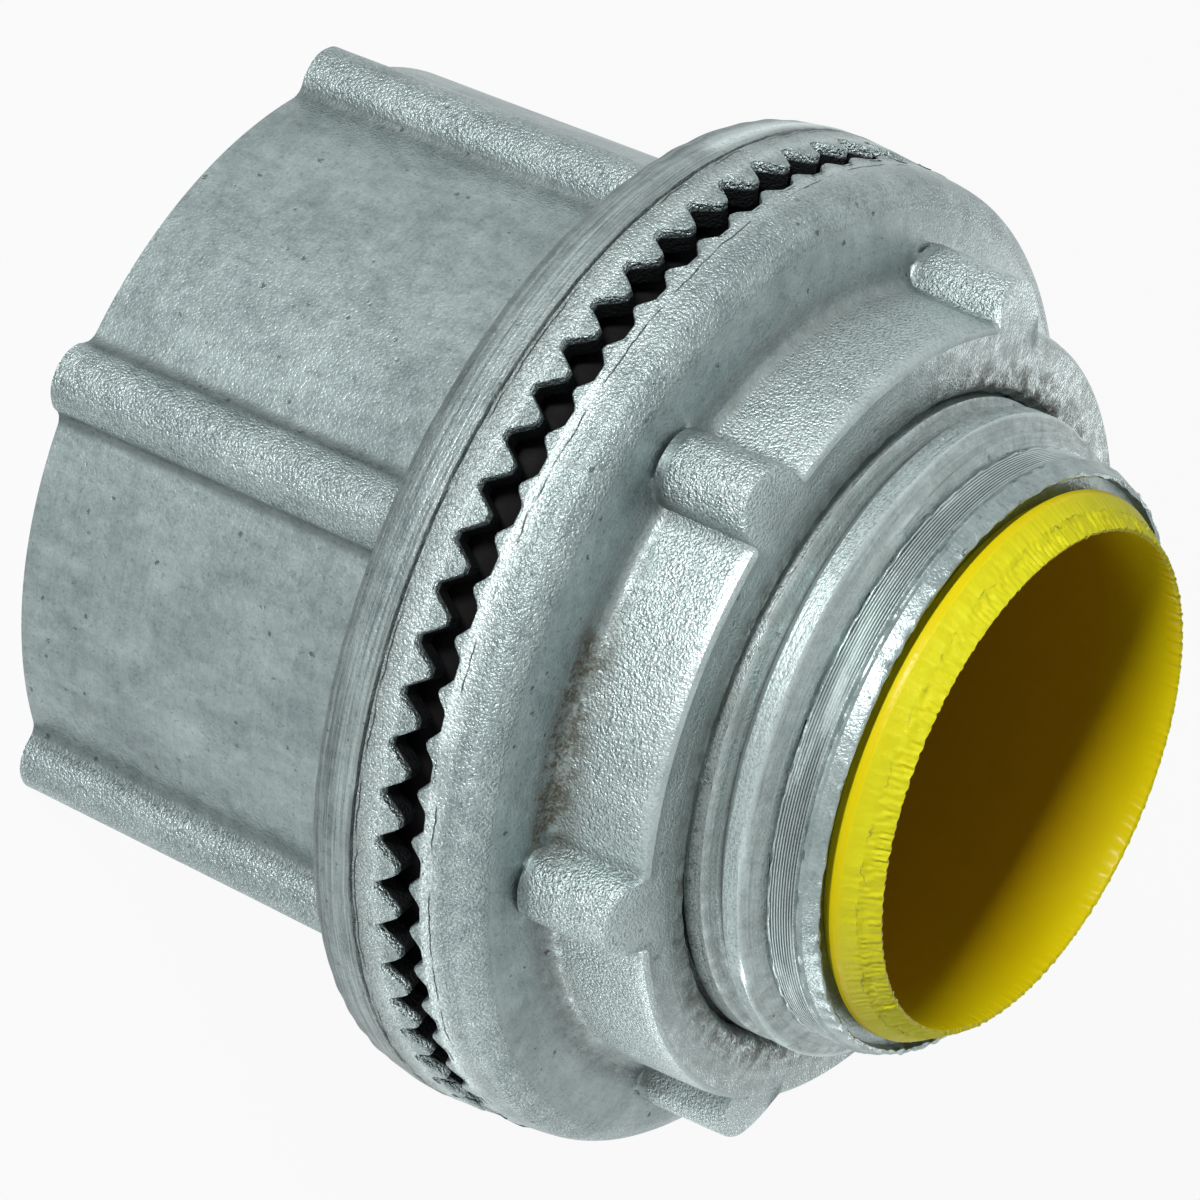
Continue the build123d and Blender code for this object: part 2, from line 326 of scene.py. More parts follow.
weld = g.nodes.new("GeometryNodeMergeByDistance")
weld.inputs["Distance"].default_value = THREAD_WELD
g.links.new(clear.outputs[0], weld.inputs["Geometry"])
g.links.new(weld.outputs[0], into)


def worked(obj, tree, material, **values):
    """Run a geometry tree on an object and keep the result as its plain mesh."""
    modifier = obj.modifiers.new(tree.name, "NODES")
    modifier.node_group = tree
    values = {name.replace("_", " "): value for name, value in values.items()}
    for item in tree.interface.items_tree:
        if item.in_out != "INPUT":
            continue
        if item.name == "Material":
            modifier[item.identifier] = material
        elif item.name in values:
            modifier[item.identifier] = values[item.name]
    obj.update_tag()
    depsgraph = bpy.context.evaluated_depsgraph_get()
    depsgraph.update()
    plain = bpy.data.meshes.new_from_object(obj.evaluated_get(depsgraph))
    obj.modifiers.clear()
    obj.data = plain


def wound(name, material, inward=False, **values):
    """A thread as a plain mesh, facing out from the axis or in towards it."""
    obj = bpy.data.objects.new(name, bpy.data.meshes.new(name))
    bpy.context.collection.objects.link(obj)
    worked(obj, thread_tree, material, Pitch=PITCH, **values)
    normals = np.zeros(len(obj.data.polygons) * 3)
    obj.data.polygons.foreach_get("normal", normals)
    centres = np.zeros(len(obj.data.polygons) * 3)
    obj.data.polygons.foreach_get("center", centres)
    outward = np.sum((normals * centres).reshape(-1, 3)[:, :2]) > 0
    if outward == inward:
        obj.data.flip_normals()
    return obj


def points_of(obj):
    """The mesh's points as rows of x, y and z."""
    points = np.zeros(len(obj.data.vertices) * 3)
    obj.data.vertices.foreach_get("co", points)
    return points.reshape(-1, 3)


def marked(obj, **rules):
    """Store 0 to 1 marks on the points. Each rule is a number, or is worked out from the
    point's radius, its angle in degrees and its height."""
    x, y, z = points_of(obj).T
    for name, rule in rules.items():
        value = rule(np.hypot(x, y), np.degrees(np.arctan2(y, x)), z) if callable(rule) else rule
        value = np.clip(np.broadcast_to(value, x.shape), 0, 1).astype(np.float32)
        obj.data.attributes.new(name, "FLOAT", "POINT").data.foreach_set("value", value.copy())


def window(value, low, high, edge):
    """1 between low and high, fading to 0 over the edge's width outside them."""
    return np.clip(np.minimum(value - low, high - value) / edge + 1, 0, 1)


def foot_of(r, a, first, half):
    """1 along the feet of six bars, whose middles stand at first and every 60 degrees on."""
    away = np.abs((a - first + 30) % 60 - 30)
    return window(np.radians(away) * r, half + 0.1, half + 0.4, 0.3)


def held_in(obj, heights, radii):
    """Pull the points that stand out of a cone between two heights back on to it."""
    points = points_of(obj)
    reach = np.hypot(points[:, 0], points[:, 1])
    points[:, :2] *= np.minimum(1, np.interp(points[:, 2], heights, radii) / reach)[:, None]
    obj.data.vertices.foreach_set("co", points.ravel())


def settled(obj, crease=32):
    """Scale a finished piece to metres, smooth it and keep its creases."""
    obj.data.transform(Matrix.Scale(MM, 4))
    obj.data.polygons.foreach_set("use_smooth", [True] * len(obj.data.polygons))
    obj.data.set_sharp_from_angle(angle=math.radians(crease))
    obj.data.update()


def stands_for(node, body, pieces):
    """Show the pieces in a node's place, on its body."""
    for piece in pieces:
        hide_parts(node)
        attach(piece, body)


def shader_group(name, inputs, outputs):
    """An empty shader group. Returns it, its inputs and its outputs."""
    tree = bpy.data.node_groups.new(name, "ShaderNodeTree")
    for label, kind in inputs:
        tree.interface.new_socket(label, in_out="INPUT", socket_type=kind)
    for label, kind in outputs:
        tree.interface.new_socket(label, in_out="OUTPUT", socket_type=kind)
    return tree, tree.nodes.new("NodeGroupInput").outputs, tree.nodes.new("NodeGroupOutput").inputs


def noise(tree, vector, scale, detail=4.0, rough=0.55, distortion=0.0):
    """Fractal noise, about 0.5 on average."""
    node = tree.nodes.new("ShaderNodeTexNoise")
    node.inputs["Scale"].default_value = scale
    node.inputs["Detail"].default_value = detail
    node.inputs["Roughness"].default_value = rough
    node.inputs["Distortion"].default_value = distortion
    tree.links.new(vector, node.inputs["Vector"])
    return node.outputs["Fac"]


def ramp(tree, value, low, high, start=0.0, end=1.0):
    """Map a value from low..high to start..end, held at the ends."""
    node = tree.nodes.new("ShaderNodeMapRange")
    labels = ("From Min", "From Max", "To Min", "To Max")
    for label, number in zip(labels, (low, high, start, end)):
        plug(tree, node.inputs[label], number)
    tree.links.new(value, node.inputs["Value"])
    return node.outputs["Result"]


def blend(tree, share, a, b, how="MIX"):
    """Mix two colours, given as sockets or as plain numbers."""
    node = tree.nodes.new("ShaderNodeMix")
    node.data_type = "RGBA"
    node.blend_type = how
    plug(tree, node.inputs[0], share)
    for socket, value in ((node.inputs[6], a), (node.inputs[7], b)):
        if isinstance(value, tuple):
            socket.default_value = (*value, 1.0)
        else:
            tree.links.new(value, socket)
    return node.outputs[2]


def axis_place(tree, vector):
    """The place in millimetres, and its angle, radius and height about the axis."""
    scaled = tree.nodes.new("ShaderNodeVectorMath")
    scaled.operation = "SCALE"
    scaled.inputs["Scale"].default_value = 1 / MM
    tree.links.new(vector, scaled.inputs[0])
    x, y, z = parted(tree, scaled.outputs[0])
    return scaled.outputs[0], calc(tree, "ARCTAN2", y, x), off_axis(tree, x, y), z


def new_material(name):
    """A material. Returns it, its tree, its surface and the object's own coordinates."""
    material = bpy.data.materials.new(name)
    material.use_nodes = True
    tree = material.node_tree
    own = tree.nodes.new("ShaderNodeTexCoord").outputs["Object"]
    return material, tree, tree.nodes["Principled BSDF"], own


def mark_of(tree, name):
    """A mark that was stored on the points."""
    node = tree.nodes.new("ShaderNodeAttribute")
    node.attribute_name = name
    return node.outputs["Fac"]


def bumped(tree, surface, height, distance, strength=1.0):
    """Bump a surface by a height. The distance is in millimetres."""
    relief = tree.nodes.new("ShaderNodeBump")
    relief.inputs["Strength"].default_value = strength
    relief.inputs["Distance"].default_value = distance * MM
    tree.links.new(height, relief.inputs["Height"])
    tree.links.new(relief.outputs[0], surface.inputs["Normal"])


# Bare zinc: blotchy and sandy from the die, brushed or turned in rings where it was worked
zinc_group, given, out = shader_group(
    "bare_zinc",
    [("Vector", "NodeSocketVector"), ("Sand", "NodeSocketFloat"), ("Brush", "NodeSocketFloat"),
     ("Blotch", "NodeSocketFloat"), ("Grime", "NodeSocketFloat"), ("Soot", "NodeSocketFloat"),
     ("Wear", "NodeSocketFloat"), ("Light", "NodeSocketColor"), ("Dark", "NodeSocketColor")],
    [("Color", "NodeSocketColor"), ("Roughness", "NodeSocketFloat"),
     ("Metallic", "NodeSocketFloat"), ("Height", "NodeSocketFloat")])
t = zinc_group
spot, angle, r, z = axis_place(t, given["Vector"])
rings = joined(t, calc(t, "MULTIPLY", angle, 2.4), calc(t, "MULTIPLY", r, 7.0),
               calc(t, "MULTIPLY", z, 7.0))
streaks = joined(t, calc(t, "MULTIPLY", angle, 14.0), calc(t, "MULTIPLY", r, 0.8),
                 calc(t, "MULTIPLY", z, 0.28))
grain = ramp(t, noise(t, spot, 8.5, 1.5, 0.6), 0.32, 0.68)
blotch = noise(t, spot, 0.30, 4.0, 0.6, 0.3)
cloud = noise(t, spot, 1.3, 6.0, 0.70, 0.5)
drag = noise(t, streaks, 1.0, 4.0, 0.65, 0.3)
speckle = noise(t, spot, 3.8, 3.0, 0.7)
brush = ramp(t, noise(t, rings, 1.0, 4.0, 0.7), 0.3, 0.7)

# Round pits in about half of the cells, each of its own size
pits = t.nodes.new("ShaderNodeTexVoronoi")
pits.inputs["Scale"].default_value = 1.3
t.links.new(spot, pits.inputs["Vector"])
pick = t.nodes.new("ShaderNodeSeparateColor")
t.links.new(pits.outputs["Color"], pick.inputs[0])
pit_size = calc(t, "MULTIPLY", ramp(t, pick.outputs[0], 0.5, 1.0, 0.02, 0.15),
                ramp(t, grain, 0.0, 1.0, 0.4, 1.7))
pit = ramp(t, calc(t, "SUBTRACT", pits.outputs["Distance"], pit_size), -0.05, 0.02, 1.0, 0.0)
pit = calc(t, "MULTIPLY", pit, calc(t, "GREATER_THAN", pick.outputs[0], 0.5))

# The tone gathers the layers, each by its mark and its weight
tone = calc(t, "MULTIPLY", calc(t, "SUBTRACT", blotch, 0.5),
            calc(t, "MULTIPLY", given["Blotch"], 1.3))
for layer, share, weight in ((cloud, "Blotch", 1.6), (drag, "Blotch", 1.2),
                             (speckle, "Blotch", 1.0), (brush, "Brush", 1.3), (grain, "Sand", 0.55)):
    tone = calc(t, "ADD", tone, calc(t, "MULTIPLY", calc(t, "SUBTRACT", layer, 0.5),
                                     calc(t, "MULTIPLY", given[share], weight)))
colour = blend(t, ramp(t, tone, -0.5, 0.5), given["Dark"], given["Light"])
speck = ramp(t, speckle, 0.56, 0.68)
colour = blend(t, calc(t, "MULTIPLY", speck, 0.4), colour, given["Dark"], "MULTIPLY")
colour = blend(t, calc(t, "MULTIPLY", pit, 0.7), colour, (0.03, 0.035, 0.035))
# Wear lightens the zinc towards bare metal; on the nut's hub the same mark is partly a painted
# highlight
worn = calc(t, "MULTIPLY", given["Wear"], ramp(t, grain, -0.4, 0.5))
colour = blend(t, worn, colour, (0.70, 0.82, 0.81))
soil = ramp(t, calc(t, "ADD", cloud, calc(t, "MULTIPLY", grain, 0.15)), 0.42, 0.68)
soil = calc(t, "MULTIPLY", given["Grime"], soil)
colour = blend(t, soil, colour, (0.066, 0.062, 0.038))
# Painted shade: the mark darkens the zinc to near black where shade falls, in gaps, feet and recesses
colour = blend(t, given["Soot"], colour, (0.006, 0.006, 0.007))
t.links.new(colour, out["Color"])

# Soil is dull, but the painted shade stays metallic, so that it shows no white sheen
dull = calc(t, "MULTIPLY", calc(t, "MAXIMUM", soil, pit), calc(t, "SUBTRACT", 1.0, given["Soot"]))
t.links.new(calc(t, "SUBTRACT", 0.95, calc(t, "MULTIPLY", dull, 0.8)), out["Metallic"])
# The painted shade also makes the surface rougher, as soil does
soil = calc(t, "MAXIMUM", soil, given["Soot"])
rough = calc(t, "ADD", 0.40, calc(t, "MULTIPLY", calc(t, "SUBTRACT", cloud, 0.5), 0.3))
rough = calc(t, "ADD", rough, calc(t, "MULTIPLY", calc(t, "SUBTRACT", grain, 0.5), 0.12))
rough = calc(t, "ADD", rough, calc(t, "MULTIPLY", soil, 0.35))
t.links.new(calc(t, "MINIMUM", rough, 1.0), out["Roughness"])
height = calc(t, "MULTIPLY", grain, given["Sand"])
height = calc(t, "ADD", height, calc(t, "MULTIPLY", cloud, 0.35))
height = calc(t, "ADD", height, calc(t, "MULTIPLY", brush, calc(t, "MULTIPLY", given["Brush"], 0.25)))
height = calc(t, "SUBTRACT", height, calc(t, "MULTIPLY", pit, 0.4))
t.links.new(height, out["Height"])


def crack(tree, spot, r, z, height, inner_r, width, waver):
    """Mask of a thin broken line that wanders round the part at a height, outside inner_r."""
    drift = calc(tree, "MULTIPLY", calc(
        tree, "SUBTRACT", noise(tree, spot, 0.8, 5.0, 0.6), 0.5), waver)
    off = calc(tree, "ABSOLUTE", calc(tree, "SUBTRACT", calc(tree, "ADD", z, drift), height))
    line = ramp(tree, off, width, width * 2, 1.0, 0.0)
    broken = ramp(tree, noise(tree, spot, 0.35, 2.0), 0.46, 0.54)
    return calc(tree, "MULTIPLY", calc(tree, "MULTIPLY", line, broken),
                calc(tree, "GREATER_THAN", r, inner_r))


def zinc(name, blotch, bump, lines=None, crack_z=None):
    """A zinc material. lines gives the heights between which a tool left fine turned lines, and
    crack_z the height of the thin crack beside the flash that the die left on a rim."""
    material, tree, surface, own = new_material(name)
    group = tree.nodes.new("ShaderNodeGroup")
    group.node_tree = zinc_group
    tree.links.new(own, group.inputs["Vector"])
    group.inputs["Blotch"].default_value = blotch
    group.inputs["Light"].default_value = (0.455, 0.545, 0.54, 1)
    group.inputs["Dark"].default_value = (0.145, 0.185, 0.19, 1)
    for label in ("Sand", "Brush", "Grime", "Soot", "Wear"):
        tree.links.new(mark_of(tree, label.lower()), group.inputs[label])
    height = group.outputs["Height"]
    colour = group.outputs["Color"]
    spot, angle, r, z = axis_place(tree, own)
    if crack_z:
        gap = crack(tree, spot, r, z, crack_z, 20.15, 0.018, 0.35)
        height = calc(tree, "SUBTRACT", height, gap)
        colour = blend(tree, calc(tree, "MULTIPLY", gap, 0.85), colour, (0.02, 0.022, 0.022))
    if lines:
        fine = calc(tree, "SINE", calc(tree, "MULTIPLY", z, math.tau / LINE_STEP))
        waver = noise(tree, joined(tree, calc(tree, "MULTIPLY", angle, 2.0), z, 0.0), 1.2, 3.0)
        band = calc(tree, "MULTIPLY", ramp(tree, z, lines[0], lines[0] + 0.08),
                    ramp(tree, z, lines[1] - 0.08, lines[1], 1.0, 0.0))
        cut = calc(tree, "MULTIPLY", calc(tree, "MULTIPLY", fine, band),
                   ramp(tree, waver, 0.35, 0.6, 0.4, 1.0))
        height = calc(tree, "ADD", height, calc(tree, "MULTIPLY", cut, 0.9))
        colour = blend(tree, calc(tree, "MULTIPLY", band, 0.8), colour, (0.72, 0.84, 0.83))
        # Painted shade: the bottoms of the fine lines are painted dark
        colour = blend(tree, ramp(tree, calc(tree, "MULTIPLY", cut, -1.0), 0.1, 0.6, 0.0, 0.9),
                       colour, (0.05, 0.055, 0.06))
    bumped(tree, surface, height, bump)
    tree.links.new(colour, surface.inputs["Base Color"])
    tree.links.new(group.outputs["Roughness"], surface.inputs["Roughness"])
    tree.links.new(group.outputs["Metallic"], surface.inputs["Metallic"])
    return material


cast_zinc = zinc("body_cast_zinc", 0.55, 0.06, crack_z=PARTING_Z + 0.2)
nose_zinc = zinc("nose_turned_zinc", 0.5, 0.05, lines=LINES_Z)

fillet_z = FLANGE_Z - 1.2
body_outline = [
    row(SOCKET_ROOT_R + 0.25, 0),
    row(BARREL_R, 0, 0.5, wall=BARREL_R),
    row(BARREL_R + 0.10, 6.0, wall=BARREL_R + 0.10),
    row(BARREL_R + 0.20, 11.5, wall=BARREL_R + 0.20),
    row(BARREL_TOP_R - 0.02, fillet_z, wall=BARREL_TOP_R),
    row(BARREL_TOP_R + 0.10, fillet_z + 0.50, wall=BARREL_TOP_R),
    row(BARREL_TOP_R + 0.35, fillet_z + 0.85, wall=BARREL_TOP_R),
    row(BARREL_TOP_R + 0.70, fillet_z + 1.08, wall=BARREL_TOP_R),
    row(BARREL_TOP_R + 1.2, FLANGE_Z, wall=BARREL_TOP_R),
    row(FLANGE_R - 0.3, FLANGE_Z, 0.4, ragged=0.02),
    row(FLANGE_R - 0.03, PARTING_Z - 0.7),
    row(FLANGE_R, PARTING_Z - 0.09, ragged=0.04),
    row(FLANGE_R - 0.16, PARTING_Z - 0.02, ragged=0.03),
    row(FLANGE_R - 0.16, PARTING_Z + 0.02, ragged=0.03),
    row(FLANGE_R - 0.02, PARTING_Z + 0.08, ragged=0.04),
    row(FLANGE_R - 0.08, TIP_Z - 0.95, ragged=0.02),
    row(FLANGE_R - 0.11, TIP_Z - 0.5, tooth=0.5, ragged=0.02),
    row(FLANGE_R - 0.15, TIP_Z, 0.16, tooth=1, ragged=0.04),
    row(FLANGE_R - 0.42, TIP_Z, tooth=1),
    row(FLANGE_R - 0.55, TIP_Z, tooth=1),
    row(RIM_INNER_R, TIP_Z, 0.12, tooth=1),
    row(RIM_INNER_R, FACE_Z),
    row(GROOVE_OUT_R, FACE_Z, 0.2),
    row(GROOVE_OUT_R, GROOVE_Z, 0.3),
    row(GROOVE_IN_R, GROOVE_Z, 0.3),
    row(GROOVE_IN_R, FACE_Z, 0.2),
    row(NOSE_ROOT_R - 0.1, FACE_Z),
]
nose_outline = [
    row(NOSE_END_R - 0.15, THREAD_END_Z - 0.2),
    row(NOSE_END_R, THREAD_END_Z - 0.05),
    row(NOSE_LEAD_R + 0.02, THREAD_END_Z + 0.03, 0.03, ragged=0.04),
    row(NOSE_LEAD_R - 0.03, THREAD_END_Z + 0.12),
    row(NOSE_LEAD_R - 0.05, 34.05),
    row(NOSE_LEAD_R - 0.09, 34.12),
    row(NOSE_LEAD_R - 0.06, 34.26),
    row(NOSE_LEAD_R + 0.02, 34.33, ragged=0.02),
    row(NOSE_LEAD_R + 0.01, 34.42, ragged=0.02),
    row(NOSE_LEAD_R - 0.10, 34.50),
    row(NOSE_LEAD_R - 0.22, 34.95),
    row(12.08, 35.06, ragged=0.06),
    row(12.02, NOSE_Z, 0.04, ragged=0.06),
    row(11.90, NOSE_Z - 0.06, ragged=0.04),
    row(11.84, NOSE_Z - 0.5),
    row(LINER_SEAT_R, NOSE_Z - 0.5),
    row(LINER_SEAT_R, STOP_Z, 0.1),
    row(STOP_R, STOP_Z, 0.1),
    row(STOP_R, SOCKET_DEPTH, 0.1),
    row(SOCKET_ROOT_R + 0.1, SOCKET_DEPTH),
]
body = skin("hub_body_casting", [body_outline, nose_outline], RIM_COLUMNS, seed=4)
worked(body, serration_tree, cast_zinc, Count=TOOTH_COUNT, First=TOOTH_FIRST, Depth=TOOTH_DEPTH,
       Floor=0.085, Crest=0.10, Side=1.0)
worked(body, bars_tree, cast_zinc, Count=RIB_COUNT, First=math.radians(RIB_FIRST),
       Width=RIB_WIDTH, Height=RIB_HEIGHT, Foot=0.65, Drop=0.0, Lean=0.0)


def on_rib(r, z):
    """True on a rib, clear of its foot."""
    return (r > BARREL_R + z * math.tan(BARREL_DRAFT) + 0.3) & (z < 17)


def body_wear(r, a, z):
    """Bare metal under the teeth, on the ribs, and on a strip of flash behind the parting."""
    teeth = window(z, 20.5, 20.8, 0.15) * (r > 20.3) * 0.4
    strip = window(z, 18.1, 19.0, 0.15) * (r > 20.4) * window(a, -172, -150, 3)
    return np.maximum(np.maximum(teeth, 0.06 * on_rib(r, z)), strip)


def body_grime(r, a, z):
    """Dirt on the parting, in the flange's foot and inside the nose."""
    return (0.3 * window(z, 19.5, 19.7, 0.12) * (r > 20)
            + 0.5 * window(z, 16.9, 17.5, 0.4) * (r > 17) * (r < 19.5)
            + 0.9 * (r < 16) * (z > 18) * (z < 21))


def body_sand(r, a, z):
    """Sandy above the parting and on the ribs."""
    return np.select([(z > PARTING_Z) & (r > 18), (z > FLANGE_Z) & (r > 18), on_rib(r, z)],
                     [0.9, 0.3, 0.8], 0.22)


def body_soot(r, a, z):
    """Painted shade: black between the rims and round the ring, thin dark lines on the flange and at
    the rib feet.
    """
    rims = (r < FLANGE_R - 0.45) * (z > 20.5) * (z < 23)
    face = (r < 19.6) * (z > 18.5) * (z < 23) * np.where(r < 19.0, 0.4, 1.0)
    lines = np.maximum(0.45 * window(z, PARTING_Z - 0.03, PARTING_Z + 0.03, 0.01),
                       0.35 * window(z, 17.3, 17.8, 0.5))
    wall = BARREL_R + z * math.tan(BARREL_DRAFT)
    feet = 0.4 * foot_of(r, a, RIB_FIRST, RIB_WIDTH / 2) * (z < 17.2) * (r < wall + 0.6) * (r > 16.5)
    return np.maximum(0.97 * (r > 13) * np.maximum(rims, face),
                      np.maximum((r > 20.2) * lines, feet))


marked(body, wear=body_wear, grime=body_grime, sand=body_sand,
       brush=lambda r, a, z: 0.1 + 0.8 * window(z, 17.8, 19.5, 0.1) * (r > 20), soot=body_soot)
held_in(body, (0, NOSE_Z), (FLANGE_R, FLANGE_R))
settled(body)
body.data.materials.append(nose_zinc)
for face in body.data.polygons:
    in_front = face.center.z > 31 * MM
    inside = face.center.z > 20 * MM and face.center.xy.length < 12.5 * MM
    if in_front or inside:
        face.material_index = 1

nose = wound("hub_body_nose_thread", nose_zinc, Columns=186, Turns=9.0,
             Crest=NOSE_R, Root=NOSE_ROOT_R, Crest_Flat=0.85, Root_Flat=0.12, Start=FACE_Z,
             End=THREAD_END_Z, Fade_In=0.5, Fade_Out=0.01, Phase=math.radians(-111))
held_in(nose, (32.3, THREAD_END_Z), (NOSE_R, NOSE_END_R))
# Painted shade: the nose thread is darker where the nut covers it and in the roots of its turns
marked(nose, wear=lambda r, a, z: 0.3 + 0.25 * window(r, 13.25, 14, 0.05),
       grime=lambda r, a, z: np.maximum(0.35 * window(z, 29.8, 31.0, 0.3), 0.3 * (r < 13.25)),
       sand=0.15, brush=0.6,
       soot=lambda r, a, z: np.maximum(
           0.25 * (z < 29.3), 0.6 * window(r, 12.0, 12.74, 0.05) * (z < 32.3)))
settled(nose)

socket = wound("hub_body_socket_thread", cast_zinc, inward=True, Columns=150, Turns=10.0,
               Crest=SOCKET_R, Root=SOCKET_ROOT_R, Crest_Flat=0.2, Root_Flat=0.2,
               Start=0.24, End=SOCKET_DEPTH, Fade_In=0.01, Fade_Out=0.01, Phase=0.0)
marked(socket, wear=0.0, grime=0.25, sand=0.2, brush=0.4, soot=0.0)
settled(socket)
stands_for("hub_body", "casting", (body, nose, socket))


# The sealing ring: a round cord of black rubber, loose in the groove of the flange's face.
# The solid ring has its true shape already, so it only gets its finish.

rubber, t, surface, own = new_material("black_rubber")
grain = noise(t, axis_place(t, own)[0], 3.0, 4.0)
t.links.new(blend(t, grain, (0.004, 0.004, 0.004), (0.012, 0.012, 0.012)),
            surface.inputs["Base Color"])
t.links.new(ramp(t, grain, 0.3, 0.7, 0.65, 0.85), surface.inputs["Roughness"])
surface.inputs["Specular IOR Level"].default_value = 0.15
bumped(t, surface, grain, 0.03)
sealing_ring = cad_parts["sealing_ring"]
sealing_ring.data.materials.clear()
sealing_ring.data.materials.append(rubber)


# The lock nut: a zinc casting with its teeth towards the flange, a plain face, and an inner hub
# whose six lugs take a driver or a wrench. It screws down the nose from inside the enclosure.

NUT_TIP_Z = 22.15
NUT_TOOTH_DEPTH = 0.5
NUT_TOOTH_SHIFT = math.radians(1.4)
NUT_R = 20.55
NUT_BORE_R = 13.435
NUT_FLOOR_Z = 23.1
NUT_FACE_Z = 25.5
GAP_TOP_Z = 23.3                # the dark gap between the two rims ends below this
HUB_R = 16.3
HUB_TOP_R = 16.22
HUB_Z = 30.1
LUG_COUNT = 6
LUG_FIRST = 9                   # degrees
LUG_WIDTH = 3.1
LUG_HEIGHT = 1.75

nut_zinc = zinc("nut_cast_zinc", 0.5, 0.06, crack_z=NUT_FLOOR_Z)
nut_outline = [
    row(RIM_INNER_R, NUT_TIP_Z + 0.6),
    row(RIM_INNER_R, NUT_TIP_Z, 0.1, tooth=1),
    row(NUT_R - 0.55, NUT_TIP_Z, tooth=1),
    row(NUT_R - 0.42, NUT_TIP_Z, tooth=1),
    row(NUT_R, NUT_TIP_Z, 0.16, tooth=1, ragged=0.03),
    row(NUT_R - 0.03, NUT_TIP_Z + 0.35, tooth=0.5, ragged=0.02),
    row(NUT_R - 0.06, NUT_TIP_Z + 0.66, ragged=0.02),
    row(NUT_R - 0.14, NUT_TIP_Z + 1.5),
    row(NUT_R - 0.25, NUT_TIP_Z + 2.2, 0.45),
    row(19.4, 25.0, 0.4),
    row(18.4, 25.20),
    row(17.6, 25.34),
    row(17.1, 25.45, wall=HUB_R),
    row(HUB_R + 0.35, NUT_FACE_Z + 0.10, 0.1, wall=HUB_R),
    row(HUB_R + 0.12, NUT_FACE_Z + 0.30, wall=HUB_R),
    row(HUB_R, NUT_FACE_Z + 0.6, wall=HUB_R),
    row(HUB_R - 0.03, 27.2, wall=HUB_R - 0.03),
    row(HUB_R - 0.05, 28.4, wall=HUB_R - 0.05),
    row(HUB_TOP_R, 29.35, wall=HUB_TOP_R),
    row(HUB_TOP_R - 0.05, 29.65, wall=HUB_TOP_R - 0.03, cap=0.4),
    row(HUB_TOP_R - 0.18, 29.88, wall=HUB_TOP_R - 0.10, cap=0.8),
    row(HUB_TOP_R - 0.40, 30.04, wall=HUB_TOP_R - 0.30, cap=1.0),
    row(HUB_TOP_R - 0.75, HUB_Z, cap=1.0),
    row(15.0, HUB_Z, ragged=0.01),
    row(NUT_BORE_R + 0.35, HUB_Z, 0.15, ragged=0.04),
    row(NUT_BORE_R, HUB_Z - 0.45, ragged=0.03),
    row(NUT_BORE_R, NUT_FLOOR_Z + 0.4),
    row(NUT_BORE_R, NUT_FLOOR_Z, 0.1),
    row(RIM_INNER_R, NUT_FLOOR_Z, 0.1),
    row(RIM_INNER_R, NUT_TIP_Z + 0.6),
]
nut = skin("lock_nut_casting", [nut_outline], RIM_COLUMNS, seed=31)
worked(nut, serration_tree, nut_zinc, Count=TOOTH_COUNT, First=TOOTH_FIRST + NUT_TOOTH_SHIFT,
       Depth=NUT_TOOTH_DEPTH, Floor=0.19, Crest=0.05, Side=-1.0)
worked(nut, bars_tree, nut_zinc, Count=LUG_COUNT, First=math.radians(LUG_FIRST),
       Width=LUG_WIDTH, Height=LUG_HEIGHT, Foot=0.3, Drop=0.1, Lean=0.4)


def nut_wear(r, a, z):
    """The hub's side is rubbed bright and carries a painted highlight, and flash stands along two
    stretches of the rim.
    """
    low = window(z, 22.75, 23.0, 0.1) * (r > 20.2) * 0.35
    rim = window(z, 22.75, 23.05, 0.1) * (r > 20.2)
    flash = np.maximum(np.maximum(low, rim * window(a, -112, -71, 3)),
                       rim * window(a, -64, -20, 3) * 0.8)
    # Painted highlight: the hub's side and lugs are painted lighter
    return 0.38 * window(z, 26.6, 29.7, 0.8) + flash


def nut_grime(r, a, z):
    """Dirt on the front, in the hub's foot, worst between two lugs, and round the bore."""
    foot = window(r, 16.35, 17.3, 0.25) * window(z, 25.2, 26.2, 0.3)
    bore = 0.6 * window(r, 13.0, 13.9, 0.15) * (z > 28)
    return 0.25 * (z > 29.9) + np.maximum(foot * (0.35 + 0.6 * window(a, -85, -58, 4)), bore)


def nut_sand(r, a, z):
    """Sandiest on the lugs, less so on the hub and the band."""
    return np.select([(r > HUB_R + 0.3) & (z > 25.9), (z > 29.5), (z > 25.8), (r > 19.3)],
                     [0.9, 0.3, 0.6, 0.7], 0.15)


def nut_soot(r, a, z):
    """Painted shade: black in the gap between the rims, fainter at the lugs' feet and over the face.
    """
    gap = 0.97 * (r < NUT_R - 0.45) * (z < GAP_TOP_Z)
    feet = 0.3 * foot_of(r, a, LUG_FIRST, LUG_WIDTH / 2) * (z > 25.6) * (z < 29.7) * (r < HUB_R + 0.6)
    face = 0.12 * window(r, 16.9, 19.4, 0.4) * window(z, 24.8, 25.8, 0.2)
    return np.maximum(np.maximum(gap, feet), face)


marked(nut, wear=nut_wear, grime=nut_grime, sand=nut_sand,
       brush=lambda r, a, z: 0.1 + 0.3 * (z > 30.0), soot=nut_soot)
settled(nut)
nut_thread = wound("lock_nut_thread", nut_zinc, inward=True, Columns=150, Turns=6.0,
                   Crest=12.85, Root=NUT_BORE_R + 0.15, Crest_Flat=0.2, Root_Flat=0.3,
                   Start=NUT_FLOOR_Z + 0.1, End=HUB_Z - 0.5, Fade_In=0.3, Fade_Out=0.3, Phase=0.0)
